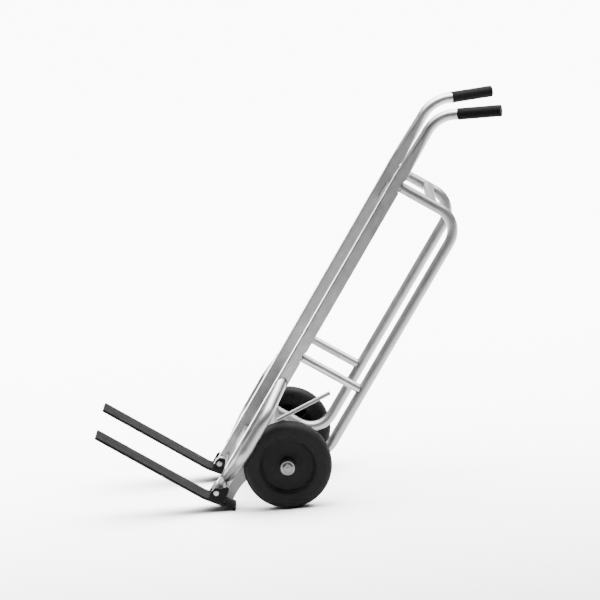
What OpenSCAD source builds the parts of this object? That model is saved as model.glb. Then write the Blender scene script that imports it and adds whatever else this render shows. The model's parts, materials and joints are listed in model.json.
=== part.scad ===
// Mini pallet truck: two aluminium uprights with bent handles, a round-tube frame behind them,
// two solid wheels on one axle, and two flat steel forks hinged at the feet of the uprights.
// Every piece is laid out square to the uprights, with the axle as the zero line, and the whole
// truck is then leaned back until its wheels and the heels of its forks stand on one floor.
// Forks point to -X, handles to +X, and the left side of the person pushing it is -Y.

/* [Uprights] */
// Distance between the two uprights, centre to centre
upright_spacing = 300; // [280:1:312]
// Depth of the upright profile, front to back
upright_depth = 34; // [32:1:40]
// Width of the upright profile
upright_w = 30; // [28:1:32]
// Wall of the closed box of the profile
upright_wall = 2.5; // [2:0.1:3]
// Radius of the two front edges of the profile
upright_edge_r = 4; // [3:0.5:6]
// Depth of the two rear lips
lip_depth = 6; // [4:0.5:8]
// Thickness of a rear lip
lip_wall = 3; // [2.5:0.1:4]
// Step that thins each lip on its outer side
lip_relief = 0.8; // [0.4:0.1:1.2]
// From the rear of the upright back to the axle
axle_setback = 109; // [104:1:116]
// From the axle down to the cut foot of the upright
foot_len = 187; // [182:1:192]
// From the uppermost lip notch up to where the profile starts to turn round
taper_above = 7; // [2:1:30]
// Length over which the profile turns into a round tube
taper_len = 130; // [100:5:160]

/* [Handles] */
// Outside diameter of the handle tube
handle_d = 30; // [27:1:31]
// Wall of the handle tube
handle_wall = 2; // [1.5:0.1:3]
// Straight tube between the taper and the bend
handle_straight = 10; // [4:1:40]
// How far the handle tube lies behind the front of the profile
handle_in = 3.5; // [1:0.5:4]
// Radius of the handle bend, at the middle of the tube
handle_bend_r = 95; // [75:1:120]
// Angle of the handle bend
handle_bend = 55; // [45:1:65]
// Angle by which the handle turns outward
handle_splay = 18; // [0:1:25]
// Bare tube between the bend and the grip
handle_bare = 12; // [6:1:30]
// Length of a grip
grip_len = 122; // [100:1:140]
// Wall of the rubber grip
grip_wall = 1.4; // [1:0.1:3]
// Thickness of the closed end of the grip
grip_end = 4; // [3:0.5:8]

/* [Rear tubes] */
// Outside diameter of the tubes behind the uprights
rear_d = 30; // [26:0.5:34]
// Wall of these tubes
rear_wall = 2; // [1.5:0.1:3]
// From the rear of the upright to the middle of the straight rear tube
rear_reach = 194; // [180:1:210]
// Height of the upper arm above the axle
rear_top = 839; // [780:1:850]
// Height of the lower arm above the axle
rear_bottom = 40; // [40:1:46]
// Bend radius of the rear tube, at the middle of the tube
rear_bend_r = 70; // [60:1:80]
// Diameter of the two tubes that join the rear tubes
cross_d = 28; // [22:1:28]
// From the rear of the upright to the upper cross tube
upper_cross_back = 99.5; // [60:0.5:110]
// From the rear of the upright to the lower cross tube
lower_cross_back = 37; // [30:1:60]
// Diameter of a strut
strut_d = 25; // [20:1:28]
// Height of the struts above the axle
strut_height = 280; // [240:1:400]
// Open length that the lip notch leaves above a tube, at the rear edge
notch_above = 11; // [4:1:16]
// How far the floor of the notch ends below the top of the tube
notch_in = 3; // [2:0.5:4]

/* [Cross plates and rods] */
// Width of the two cross plates
plate_w = 50; // [40:1:60]
// Sheet thickness of the cross plates
plate_t = 3; // [2:0.5:4]
// Height of the upper cross plate above the axle
upper_plate_height = 771; // [700:1:780]
// Depth of the upper cross plate
upper_plate_depth = 10; // [8:1:14]
// Depth of the lower cross plate
lower_plate_depth = 16; // [8:1:20]
// From the axle down to the middle of the lower cross plate
lower_plate_drop = 64; // [50:1:90]
// Diameter of the stop rod through the feet
stop_rod_d = 10; // [8:0.5:11]
// From the front of the upright to the stop rod
stop_rod_in = 19; // [18:0.5:19.5]
// From the pivot of the forks up to the stop rod
stop_rod_up = 30; // [29:0.5:31]
// Length of the stop rod beyond each fork lug
stop_rod_out = 1.7; // [1:0.1:6]
// Diameter of the foot rod
foot_rod_d = 12; // [10:1:14]
// Length of the foot rod from the middle of the lower cross tube
foot_rod_len = 186; // [120:1:200]
// Angle of the foot rod, from square to the upright
foot_rod_angle = 57.5; // [45:0.5:70]

/* [Wheel guards] */
// Outside diameter of the guard tube
guard_d = 32; // [28:1:34]
// Wall of the guard tube
guard_wall = 2; // [1.5:0.1:3]
// Gap between the guard and the side of the tyre
guard_gap = 4; // [3:0.5:10]
// From the front of the upright to the middle of the guard
guard_in = 16.5; // [16:0.5:20]
// From the axle up to the upper corner of the guard
guard_up = 100; // [80:1:120]
// From the axle down to the lower corner of the guard
guard_down = 32; // [20:1:33]
// Bend radius of the guard
guard_bend_r = 60; // [45:1:70]

/* [Wheels] */
// Outside diameter of a wheel
wheel_d = 250; // [236:1:262]
// Distance between the wheels, centre to centre
wheel_spacing = 400; // [394:1:420]
// Width of a tyre
tyre_w = 56; // [48:1:58]
// Radius of the tyre shoulders
shoulder_r = 20; // [12:1:22]
// Diameter on which the tyre sits
rim_d = 164; // [150:1:176]
// Thickness of the dished disc of the wheel centre
disc_t = 5; // [4:0.5:8]
// How deep the disc lies inside the tyre's outer side
disc_in = 16; // [12:0.5:20]
// Width of the slope that runs up from the disc to the tyre
slope_w = 11; // [8:0.5:14]
// How far the rim of the wheel centre lies inside the tyre's side
rim_in = 2.5; // [1:0.5:4]
// Thickness of this rim behind the disc
rim_t = 5; // [4:0.5:8]
// Width of the edge of this rim that shows round the slope
rim_edge = 1.5; // [1:0.5:3]
// Number of ribs behind the disc
rib_count = 10; // [6:1:14]
// Thickness of a rib
rib_t = 4; // [3:0.5:6]
// Outside diameter of the hub
hub_d = 44; // [40:1:56]
// Length of the hub
hub_len = 72; // [66:1:76]
// Diameter of the axle
axle_d = 20; // [18:0.5:22]
// Wall of the bush in the hub
bush_wall = 3; // [2:0.5:4]
// Thickness of an axle washer
washer_t = 2; // [1.5:0.1:3]
// Diameter of an axle cap
cap_d = 40; // [34:1:44]
// Height of the domed axle cap
cap_h = 9; // [8:0.5:12]
// Thickness of the two axle plates
axle_plate_t = 8; // [5:0.5:10]
// Radius of the axle plate round the axle
boss_r = 24; // [20:1:24]
// Width of the axle plate behind the foot of the upright
foot_plate_w = 29.5; // [24:0.5:36]
// From the axle down to the end of the axle plate
foot_plate_drop = 181; // [176:1:184]
// From the axle down to where the plate starts to widen
foot_plate_knee = 150; // [130:1:165]

/* [Forks] */
// Distance between the forks, centre to centre
fork_spacing = 308; // [306:1:312]
// Width of a fork blade
fork_w = 80; // [76:1:90]
// Thickness of a fork blade
fork_t = 8; // [6:0.5:10]
// Length of the blade in front of its bend
fork_len = 351; // [250:1:450]
// Length of the heel behind the bend
heel_len = 97; // [94:1:110]
// Angle by which the heel rises behind the bend
heel_angle = 8.5; // [6:0.5:10]
// Angle by which the blade rises towards its tip
tip_rise = 0.6; // [0:0.1:2]
// From the front of the upright forward to the bend
fork_ahead = 17; // [15:0.5:24]
// From the axle down to the top of the blade at its bend
fork_drop = 201; // [200:0.5:206]
// From the axle down to the pivot
pivot_drop = 174.5; // [174:0.5:176]
// From the front of the upright to the pivot
pivot_in = 8.5; // [8.5:0.5:9.5]
// Diameter of the pivot bolt
bolt_d = 8; // [7:0.5:10]
// Width across the flats of the bolt head and nut
bolt_flats = 13; // [11:0.5:16]
// Wall of the sleeve round the bolt
sleeve_wall = 1.5; // [1:0.5:2]
// Thickness of a fork lug
lug_t = 6; // [5:0.5:6]
// From the pivot forward to the front end of both lugs
lug_ahead = 12; // [10:0.5:16]
// From the pivot back to the rear end of both lugs
lug_behind = 33; // [30:0.5:42]
// Radius of the outer lug round the pivot
lug_r = 13; // [11:0.5:14]
// From the pivot back to the middle of the lobe that bears on the stop rod
lobe_back = 20; // [19:0.5:22]
// From the pivot up to the middle of this lobe
lobe_up = 20; // [18:0.5:21]
// Radius of the arched inner lug
arch_r = 16; // [14:0.5:17]
// From the pivot back to the middle of the arch
arch_back = 4.5; // [3:0.5:6]
// From the pivot up to the middle of the arch
arch_up = 1.5; // [0:0.5:3]
// Rim of the hinge block that shows round the inner lug
block_rim = 2; // [1:0.5:2]

/* [Fits] */
// Gap between pieces that move past each other, side to side
side_gap = 0.3; // [0.2:0.05:0.5]
// Radial clearance of a shaft in its bore
run_clear = 0.05; // [0.02:0.01:0.1]

/* [Hidden] */
$fn = 64;

LEFT = -1;
RIGHT = 1;
eps = 0.01;
cut = 2;
hull_fn = 32;
// A tube swells by this much where it is bent, and its straight parts reach this far into a bend
bend_swell = 0.05;
bend_sink = 0.5;
taper_step = 0.2;

alu = [0.78, 0.79, 0.80];
alu_plate = [0.70, 0.71, 0.72];
zinc = [0.82, 0.83, 0.84];
steel_black = [0.13, 0.13, 0.14];
rubber = [0.10, 0.10, 0.10];
plastic = [0.16, 0.16, 0.17];
bush_white = [0.88, 0.87, 0.83];

// Places along the depth of the truck, from the axle
front_x = -(axle_setback + upright_depth);
rear_x = -axle_setback;
web_x = rear_x - lip_depth;
tube_x = front_x + handle_d / 2 + handle_in;
rear_axis_x = rear_x + rear_reach;
guard_x = front_x + guard_in;
pivot_x = front_x + pivot_in;
stop_x = front_x + stop_rod_in;

// Places across the truck
upright_y = upright_spacing / 2;
upright_in = upright_y - upright_w / 2;
upright_out = upright_y + upright_w / 2;
wheel_y = wheel_spacing / 2;
guard_y = wheel_y + tyre_w / 2 + guard_gap + guard_d / 2;
fork_in = fork_spacing / 2 - fork_w / 2;
hub_in = wheel_y - hub_len / 2;
hub_out = wheel_y + hub_len / 2;
plate_out = upright_y + axle_plate_t / 2;

// Places along the upright
profile_top = rear_top + rear_d / 2 + notch_above + taper_above;
bend_start = profile_top + taper_len + handle_straight;
wheel_r = wheel_d / 2;
pivot_z = -pivot_drop;
stop_z = pivot_z + stop_rod_up;
arch_x = pivot_x + arch_back;
arch_z = pivot_z + arch_up;
block_r = arch_r + block_rim;

// Fork blade: corners of its side view
blade_bend = [front_x - fork_ahead, -fork_drop];
main_dir = [-cos(tip_rise), sin(tip_rise)];
main_down = [-sin(tip_rise), -cos(tip_rise)];
heel_dir = [cos(heel_angle), sin(heel_angle)];
heel_down = [sin(heel_angle), -cos(heel_angle)];
bend_down = (main_down + heel_down) / (1 + main_down * heel_down);
tip_top = blade_bend + fork_len * main_dir;
tip_bottom = tip_top + fork_t * main_down;
heel_top = blade_bend + heel_len * heel_dir;
heel_bottom = heel_top + fork_t * heel_down;
function blade_top(x) = blade_bend[1] + (x - blade_bend[0]) * tan(heel_angle);

// Lean that brings the wheels and the fork heels to one floor
lean = acos(wheel_r / norm(heel_bottom)) - atan2(heel_bottom[0], heel_bottom[1]) - 180
    + (atan2(heel_bottom[0], heel_bottom[1]) > 0 ? 360 : 0);

// Furthest reach of the grips, and the middle of the truck between that and the fork tips
grip_r = handle_d / 2 + grip_wall;
grip_round = 3;
grip_out = handle_bare + grip_len;
grip_dir_x = cos(handle_splay) * sin(handle_bend) * cos(lean) + cos(handle_bend) * sin(lean);
grip_end_x = tube_x + cos(handle_splay)
    * (handle_bend_r * (1 - cos(handle_bend)) + grip_out * sin(handle_bend));
grip_end_z = bend_start + handle_bend_r * sin(handle_bend) + grip_out * cos(handle_bend);
reach_back = grip_end_x * cos(lean) + grip_end_z * sin(lean) - grip_round * grip_dir_x
    + (grip_r - grip_round) * sqrt(1 - grip_dir_x * grip_dir_x) + grip_round;
reach_front = tip_bottom[0] * cos(lean) + tip_bottom[1] * sin(lean);
middle_x = (reach_back + reach_front) / 2;

// Leans the truck back and stands it on the floor, centred
module stand() {
    translate([-middle_x, 0, wheel_r]) rotate([0, lean, 0]) children();
}

// Draws a right-hand piece on either side
module on_side(side) {
    if (side == RIGHT) children();
    else mirror([0, 1, 0]) children();
}

module on_both_sides() {
    on_side(LEFT) children();
    on_side(RIGHT) children();
}

// A flat outline, drawn in the side view, given a thickness from y0 outward
module side_plate(y0, t) {
    translate([0, y0 + t, 0]) rotate([90, 0, 0]) linear_extrude(t) children();
}

// A bar across the truck, from y0 to y1
module bar_y(x, z, y0, y1, r) {
    translate([x, y0, z]) rotate([-90, 0, 0]) cylinder(h = y1 - y0, r = r);
}

// A bar along the depth of the truck, from x0 to x1
module bar_x(x0, x1, y, z, r) {
    translate([x0, y, z]) rotate([0, 90, 0]) cylinder(h = x1 - x0, r = r);
}

// A bar along the upright, from z0 to z1
module bar_z(x, y, z0, z1, r) {
    translate([x, y, z0]) cylinder(h = z1 - z0, r = r);
}

// A bend that starts at the origin along +Z and turns towards +X
module bend_x(bend_r, angle, r) {
    translate([bend_r, 0, 0]) rotate([90, 0, 180])
        rotate_extrude(angle = angle) translate([bend_r, 0]) circle(r = r + bend_swell);
}

// Rectangle with round corners, of radius rf at its front end and rr at its rear end
module round_box(x0, x1, half_w, rf, rr) {
    translate([x0 + rf, -half_w]) square([x1 - x0 - rf - rr, 2 * half_w]);
    translate([x0, rf - half_w]) square([rf + eps, 2 * (half_w - rf)]);
    translate([x1 - rr - eps, rr - half_w]) square([rr + eps, 2 * (half_w - rr)]);
    for (s = [-1, 1]) {
        translate([x0 + rf, s * (half_w - rf)]) circle(r = rf);
        translate([x1 - rr, s * (half_w - rr)]) circle(r = rr);
    }
}

// Uprights

// Outline of the profile, or one drawn in by the distance g
module upright_outline(g = 0) {
    round_box(g, upright_depth - g, upright_w / 2 - g, upright_edge_r - g, 1 - g);
}

module upright_chamber(g = 0) {
    round_box(upright_wall + g, upright_depth - lip_depth - upright_wall - g,
        upright_w / 2 - upright_wall - g, upright_edge_r - upright_wall - g, 1 - g);
}

module upright_section() {
    half_w = upright_w / 2;
    difference() {
        upright_outline();
        upright_chamber();
        translate([upright_depth - lip_depth, lip_wall - half_w])
            square([lip_depth + cut, upright_w - 2 * lip_wall]);
        for (s = [-1, 1])
            translate([upright_depth - lip_depth + 1, s * half_w - (s > 0 ? lip_relief : cut)])
                square([lip_depth + cut, lip_relief + cut]);
    }
}

// The profile turns into a round tube over the taper, with a small step at each end
module taper_outside() {
    ring_r = (handle_d / 2 + taper_step / 2) / cos(180 / hull_fn);
    hull($fn = hull_fn) {
        linear_extrude(1) upright_outline(taper_step);
        translate([tube_x - front_x, 0, taper_len - 1]) cylinder(h = 1, r = ring_r);
    }
}

module taper_inside() {
    ring_r = handle_d / 2 - handle_wall - taper_step;
    hull($fn = hull_fn) {
        translate([0, 0, -1]) linear_extrude(2) upright_chamber(taper_step);
        translate([tube_x - front_x, 0, taper_len - 1]) cylinder(h = 1, r = ring_r);
    }
}

module handle_tube(r, extra) {
    rotate([0, 0, handle_splay]) {
        translate([0, 0, -2]) cylinder(h = handle_straight + bend_sink + 2, r = r);
        translate([0, 0, handle_straight]) {
            bend_x(handle_bend_r, handle_bend, r);
            past_handle_bend() translate([0, 0, -bend_sink])
                cylinder(h = bend_sink + grip_out - grip_end + extra, r = r);
        }
    }
}

module past_handle_bend() {
    translate([handle_bend_r * (1 - cos(handle_bend)), 0, handle_bend_r * sin(handle_bend)])
        rotate([0, handle_bend, 0]) children();
}

// Notch in the lips where a tube of diameter d enters at height z, with a slanted upper end
module lip_notch(z, d) {
    top_z = z + d / 2 + notch_above;
    floor_z = z + d / 2 - notch_in;
    slope = (top_z - floor_z) / lip_depth;
    side_plate(upright_y - upright_w, 2 * upright_w) polygon([
        [web_x, z - d / 2], [rear_x + cut, z - d / 2], [rear_x + cut, top_z + cut * slope],
        [web_x, floor_z]
    ]);
}

module upright_shape() {
    difference() {
        union() {
            translate([front_x, upright_y, -foot_len])
                linear_extrude(foot_len + profile_top) upright_section();
            translate([front_x, upright_y, profile_top]) taper_outside();
            translate([tube_x, upright_y, profile_top + taper_len]) handle_tube(handle_d / 2, 0);
        }
        translate([front_x, upright_y, profile_top]) taper_inside();
        translate([tube_x, upright_y, profile_top + taper_len])
            handle_tube(handle_d / 2 - handle_wall, cut);
        lip_notch(rear_top, rear_d);
        lip_notch(strut_height, strut_d);
        lip_notch(rear_bottom, rear_d);
        bar_y(pivot_x, pivot_z, upright_in - cut, upright_out + cut, sleeve_r + run_clear);
        bar_y(stop_x, stop_z, upright_in - cut, upright_out + cut, stop_rod_d / 2 + run_clear);
    }
}

module upright_left() {
    color(alu) stand() on_side(LEFT) upright_shape();
}

module upright_right() {
    color(alu) stand() on_side(RIGHT) upright_shape();
}

// Rubber sleeve with a closed, rounded end and a small vent hole in it
module grip_shape() {
    vent_r = 2.5;
    translate([tube_x, upright_y, bend_start]) rotate([0, 0, handle_splay])
        past_handle_bend() translate([0, 0, handle_bare]) rotate_extrude() difference() {
            union() {
                square([grip_r, grip_len - grip_round]);
                square([grip_r - grip_round, grip_len]);
                translate([grip_r - grip_round, grip_len - grip_round]) circle(r = grip_round);
            }
            translate([0, -cut]) square([handle_d / 2, grip_len - grip_end + cut]);
            square([vent_r, grip_len + cut]);
        }
}

module grip_left() {
    color(rubber) stand() on_side(LEFT) grip_shape();
}

module grip_right() {
    color(rubber) stand() on_side(RIGHT) grip_shape();
}

// Cross plates: shallow channels, open to the rear, between the inner sides of the uprights

module cross_plate(z, depth) {
    translate([rear_x - depth, -upright_in, z - plate_w / 2]) difference() {
        cube([depth, 2 * upright_in, plate_w]);
        translate([plate_t, -cut, plate_t])
            cube([depth, 2 * upright_in + 2 * cut, plate_w - 2 * plate_t]);
    }
}

module upper_cross_plate() {
    color(alu) stand() cross_plate(upper_plate_height, upper_plate_depth);
}

module lower_cross_plate() {
    color(alu) stand() cross_plate(-lower_plate_drop, lower_plate_depth);
}

// Rear tubes

module rear_arm(r, z, extra) {
    bar_x(web_x - extra, rear_axis_x - rear_bend_r + bend_sink, upright_y, z, r);
}

// One tube from the web of the upright, down behind it and back to the web
module rear_tube_run(r, extra) {
    rear_arm(r, rear_top, extra);
    rear_arm(r, rear_bottom, extra);
    bar_z(rear_axis_x, upright_y, rear_bottom + rear_bend_r - bend_sink,
        rear_top - rear_bend_r + bend_sink, r);
    translate([rear_axis_x, upright_y, rear_top - rear_bend_r]) rotate([0, 0, 180])
        bend_x(rear_bend_r, 90, r);
    translate([rear_axis_x, upright_y, rear_bottom + rear_bend_r]) rotate([180, 0, 180])
        bend_x(rear_bend_r, 90, r);
}

module rear_tube_shape() {
    difference() {
        rear_tube_run(rear_d / 2, 0);
        rear_tube_run(rear_d / 2 - rear_wall, cut);
    }
}

module rear_tube_left() {
    color(alu) stand() on_side(LEFT) rear_tube_shape();
}

module rear_tube_right() {
    color(alu) stand() on_side(RIGHT) rear_tube_shape();
}

// A tube across the truck with both ends coped to the arms of the rear tubes
module cross_tube(x, z) {
    difference() {
        bar_y(x, z, -upright_y, upright_y, cross_d / 2);
        bar_y(x, z, -upright_y - cut, upright_y + cut, cross_d / 2 - rear_wall);
        for (s = [-1, 1]) bar_x(x - rear_d, x + rear_d, s * upright_y, z, rear_d / 2);
    }
}

module upper_cross_tube() {
    color(alu) stand() cross_tube(rear_x + upper_cross_back, rear_top);
}

module lower_cross_tube() {
    color(alu) stand() cross_tube(rear_x + lower_cross_back, rear_bottom);
}

module strut_shape() {
    difference() {
        bar_x(web_x, rear_axis_x, upright_y, strut_height, strut_d / 2);
        bar_x(web_x - cut, rear_axis_x + cut, upright_y, strut_height, strut_d / 2 - rear_wall);
        bar_z(rear_axis_x, upright_y, strut_height - rear_d, strut_height + rear_d, rear_d / 2);
    }
}

module strut_left() {
    color(alu) stand() on_side(LEFT) strut_shape();
}

module strut_right() {
    color(alu) stand() on_side(RIGHT) strut_shape();
}

// Wheel guards: both ends leave the outer side of the upright at 45 degrees

guard_turn = 45;
guard_tangent = guard_bend_r * tan(guard_turn / 2);
guard_leg_len = (guard_y - upright_out) / sin(guard_turn) - guard_tangent + guard_d;

// A bend and a leg that leave the straight part and run inward to the upright
module guard_leg(r, extra) {
    bend_x(guard_bend_r, guard_turn, r);
    translate([guard_bend_r * (1 - cos(guard_turn)), 0, guard_bend_r * sin(guard_turn)])
        rotate([0, guard_turn, 0]) translate([0, 0, -bend_sink])
            cylinder(h = guard_leg_len + bend_sink + extra, r = r);
}

module guard_run(r, extra) {
    top_z = guard_up - guard_tangent;
    bottom_z = guard_tangent - guard_down;
    translate([guard_x, guard_y, top_z]) rotate([0, 0, -90]) guard_leg(r, extra);
    translate([guard_x, guard_y, bottom_z]) rotate([180, 0, -90]) guard_leg(r, extra);
    bar_z(guard_x, guard_y, bottom_z - bend_sink, top_z + bend_sink, r);
}

module wheel_guard_shape() {
    difference() {
        guard_run(guard_d / 2, 0);
        guard_run(guard_d / 2 - guard_wall, cut);
        translate([front_x - guard_d, upright_out - 4 * guard_d, -2 * wheel_r])
            cube([4 * guard_d, 4 * guard_d, 4 * wheel_r]);
    }
}

module wheel_guard_left() {
    color(alu) stand() on_side(LEFT) wheel_guard_shape();
}

module wheel_guard_right() {
    color(alu) stand() on_side(RIGHT) wheel_guard_shape();
}

// Axle plates: a strip in the channel of the upright that widens in one long curve to the axle

module axle_plate_outline() {
    strip_x = rear_x + foot_plate_w;
    top_z = rear_bottom - rear_d / 2 - side_gap;
    knee = foot_plate_knee;
    curve_r = (strip_x * strip_x + knee * knee - boss_r * boss_r) / (2 * (boss_r - strip_x));
    curve = [strip_x + curve_r, -knee];
    touch = curve * boss_r / norm(curve);
    difference() {
        union() {
            polygon([
                [web_x, -foot_plate_drop], [strip_x, -foot_plate_drop], [strip_x, -knee],
                touch, [0, 0], [0, top_z], [web_x, top_z]
            ]);
            intersection() {
                circle(r = boss_r);
                translate([-2 * boss_r, -2 * boss_r]) square([4 * boss_r, 2 * boss_r + top_z]);
            }
        }
        translate(curve) circle(r = curve_r, $fn = 128);
        circle(r = axle_d / 2 + run_clear);
    }
}

module axle_plate_left() {
    color(alu_plate) stand() on_side(LEFT)
        side_plate(upright_y - axle_plate_t / 2, axle_plate_t) axle_plate_outline();
}

module axle_plate_right() {
    color(alu_plate) stand() on_side(RIGHT)
        side_plate(upright_y - axle_plate_t / 2, axle_plate_t) axle_plate_outline();
}

// Rods

module foot_rod() {
    chamfer = 1;
    color(zinc) stand() difference() {
        translate([rear_x + lower_cross_back, 0, rear_bottom]) rotate([0, 90 - foot_rod_angle, 0]) {
            cylinder(h = foot_rod_len - chamfer, r = foot_rod_d / 2);
            translate([0, 0, foot_rod_len - chamfer])
                cylinder(h = chamfer, r1 = foot_rod_d / 2, r2 = foot_rod_d / 2 - chamfer);
        }
        bar_y(rear_x + lower_cross_back, rear_bottom, -foot_rod_d, foot_rod_d, cross_d / 2);
    }
}

module stop_rod() {
    end_y = outer_lug_y + lug_t + stop_rod_out;
    color(zinc) stand() bar_y(stop_x, stop_z, -end_y, end_y, stop_rod_d / 2);
}

// Hinges of the forks

sleeve_r = bolt_d / 2 + sleeve_wall;
inner_lug_y = fork_in;
outer_lug_y = fork_in + fork_w - lug_t;
block_in = inner_lug_y + lug_t + side_gap;
sleeve_out = outer_lug_y - side_gap;

module arch_outline(r, bottom) {
    translate([arch_x, arch_z]) circle(r = r);
    translate([arch_x - r, bottom]) square([2 * r, arch_z - bottom]);
}

module hinge_block_shape() {
    side_plate(block_in, upright_in - block_in) difference() {
        arch_outline(block_r, cut - foot_len);
        translate([pivot_x, pivot_z]) circle(r = sleeve_r + run_clear);
    }
}

module hinge_block_left() {
    color(alu) stand() on_side(LEFT) hinge_block_shape();
}

module hinge_block_right() {
    color(alu) stand() on_side(RIGHT) hinge_block_shape();
}

module pivot_sleeves() {
    color(zinc) stand() on_both_sides() difference() {
        bar_y(pivot_x, pivot_z, block_in, sleeve_out, sleeve_r);
        bar_y(pivot_x, pivot_z, block_in - cut, sleeve_out + cut, bolt_d / 2 + run_clear);
    }
}

pivot_washer_t = 1.6;
pivot_washer_r = bolt_flats / 2 + 1.5;
head_t = 5.3;
nut_t = 8;
bolt_end = 2.5;
outer_washer_y = outer_lug_y + lug_t + side_gap;
inner_washer_y = inner_lug_y - side_gap - pivot_washer_t;
hex_r = bolt_flats / sqrt(3);

// Hexagon with its corners turned off by a cone, from y0 outward to y1
module hex_part(y0, y1) {
    height = y1 - y0;
    translate([pivot_x, y0, pivot_z]) rotate([-90, 0, 0]) intersection() {
        cylinder(h = height, r = hex_r, $fn = 6);
        cylinder(h = height, r1 = hex_r + height * 0.9, r2 = bolt_flats / 2 - 0.1);
    }
}

module pivot_bolts() {
    color(zinc) stand() on_both_sides() {
        bar_y(pivot_x, pivot_z, inner_washer_y - nut_t - bolt_end,
            outer_washer_y + pivot_washer_t + eps, bolt_d / 2);
        hex_part(outer_washer_y + pivot_washer_t, outer_washer_y + pivot_washer_t + head_t);
    }
}

module pivot_washer(y0) {
    difference() {
        bar_y(pivot_x, pivot_z, y0, y0 + pivot_washer_t, pivot_washer_r);
        bar_y(pivot_x, pivot_z, y0 - cut, y0 + pivot_washer_t + cut, bolt_d / 2 + run_clear);
    }
}

module pivot_washers() {
    color(zinc) stand() on_both_sides() {
        pivot_washer(outer_washer_y);
        pivot_washer(inner_washer_y);
    }
}

module pivot_nuts() {
    color(zinc) stand() on_both_sides() difference() {
        mirror([0, 1, 0]) hex_part(-inner_washer_y, nut_t - inner_washer_y);
        bar_y(pivot_x, pivot_z, inner_washer_y - nut_t - cut, inner_washer_y + cut,
            bolt_d / 2 + run_clear);
    }
}

// Forks

module blade_shape() {
    side_plate(fork_in, fork_w) polygon([
        tip_top, tip_bottom, blade_bend + fork_t * bend_down, heel_bottom, heel_top, blade_bend
    ]);
}

module fork_blade_left() {
    color(steel_black) stand() on_side(LEFT) blade_shape();
}

module fork_blade_right() {
    color(steel_black) stand() on_side(RIGHT) blade_shape();
}

lug_front_x = pivot_x - lug_ahead;
lug_rear_x = pivot_x + lug_behind;
lobe_x = pivot_x + lobe_back;
lobe_z = pivot_z + lobe_up;
lobe_r = norm([stop_x - lobe_x, stop_z - lobe_z]) - stop_rod_d / 2 - side_gap;

module pivot_hole() {
    translate([pivot_x, pivot_z]) circle(r = bolt_d / 2 + run_clear);
}

// Outer lug: round about the pivot, with a lobe behind it that bears on the stop rod
module lobe_lug_outline() {
    difference() {
        union() {
            translate([pivot_x, pivot_z]) circle(r = lug_r);
            translate([lobe_x, lobe_z]) circle(r = lobe_r);
            polygon([
                [lug_front_x, blade_top(lug_front_x)], [pivot_x - lug_r, pivot_z],
                [pivot_x, pivot_z + lug_r], [lobe_x - lobe_r, lobe_z],
                [lobe_x + lobe_r, lobe_z], [lug_rear_x, blade_top(lug_rear_x)]
            ]);
        }
        pivot_hole();
    }
}

module arch_lug_outline() {
    difference() {
        union() {
            translate([arch_x, arch_z]) circle(r = arch_r);
            polygon([
                [lug_front_x, blade_top(lug_front_x)], [arch_x - arch_r, arch_z],
                [arch_x + arch_r, arch_z], [lug_rear_x, blade_top(lug_rear_x)]
            ]);
        }
        pivot_hole();
    }
}

module fork_lugs_shape() {
    side_plate(outer_lug_y, lug_t) lobe_lug_outline();
    side_plate(inner_lug_y, lug_t) arch_lug_outline();
}

module fork_lugs_left() {
    color(steel_black) stand() on_side(LEFT) fork_lugs_shape();
}

module fork_lugs_right() {
    color(steel_black) stand() on_side(RIGHT) fork_lugs_shape();
}

// Axle and wheels

axle_washer_r = axle_d / 2 + 6;
spacer_r = axle_d / 2 + 4;
inner_axle_washer_y = hub_in - side_gap - washer_t;
outer_axle_washer_y = hub_out + side_gap;
cap_y = outer_axle_washer_y + washer_t;
cap_wall = 1.6;

// Turns a profile, drawn as radius and distance from the middle, about the axle
module turned_y() {
    rotate([-90, 0, 0]) rotate_extrude() children();
}

module ring_y(y0, y1, r_in, r_out) {
    turned_y() translate([r_in, y0]) square([r_out - r_in, y1 - y0]);
}

module axle() {
    end_y = cap_y + cap_h - 2 * cap_wall;
    color(zinc) stand() bar_y(0, 0, -end_y, end_y, axle_d / 2);
}

module axle_spacers() {
    color(zinc) stand() on_both_sides()
        ring_y(plate_out, inner_axle_washer_y, axle_d / 2 + run_clear, spacer_r);
}

module axle_washers() {
    color(zinc) stand() on_both_sides() {
        ring_y(inner_axle_washer_y, inner_axle_washer_y + washer_t, axle_d / 2 + run_clear,
            axle_washer_r);
        ring_y(outer_axle_washer_y, outer_axle_washer_y + washer_t, axle_d / 2 + run_clear,
            axle_washer_r);
    }
}

// Push-on cap: flat flange, raised round centre, and a collar that grips the axle
module cap_outline() {
    r = cap_d / 2;
    crown_r = axle_d / 2 + 2.4;
    bore_r = axle_d / 2 + run_clear;
    difference() {
        union() {
            square([r - 1, cap_wall]);
            translate([r - 1, 1]) intersection() {
                circle(r = 1);
                translate([0, -1]) square([1, 2]);
            }
            translate([0, 1]) square([r, cap_wall - 1 + 1]);
            polygon([[0, 0], [r - 1.5, 2], [crown_r, cap_h - 4], [0, cap_h - 4]]);
            square([crown_r, cap_h - 2]);
            square([crown_r - 2, cap_h]);
            translate([crown_r - 2, cap_h - 2]) circle(r = 2);
        }
        translate([0, -cut]) square([bore_r, cap_h - 2 * cap_wall + cut]);
        translate([-cut, -cut]) square([cut, cap_h + 2 * cut]);
    }
}

module axle_caps() {
    color(zinc) stand() on_both_sides() translate([0, cap_y, 0]) turned_y() cap_outline();
}

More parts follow.
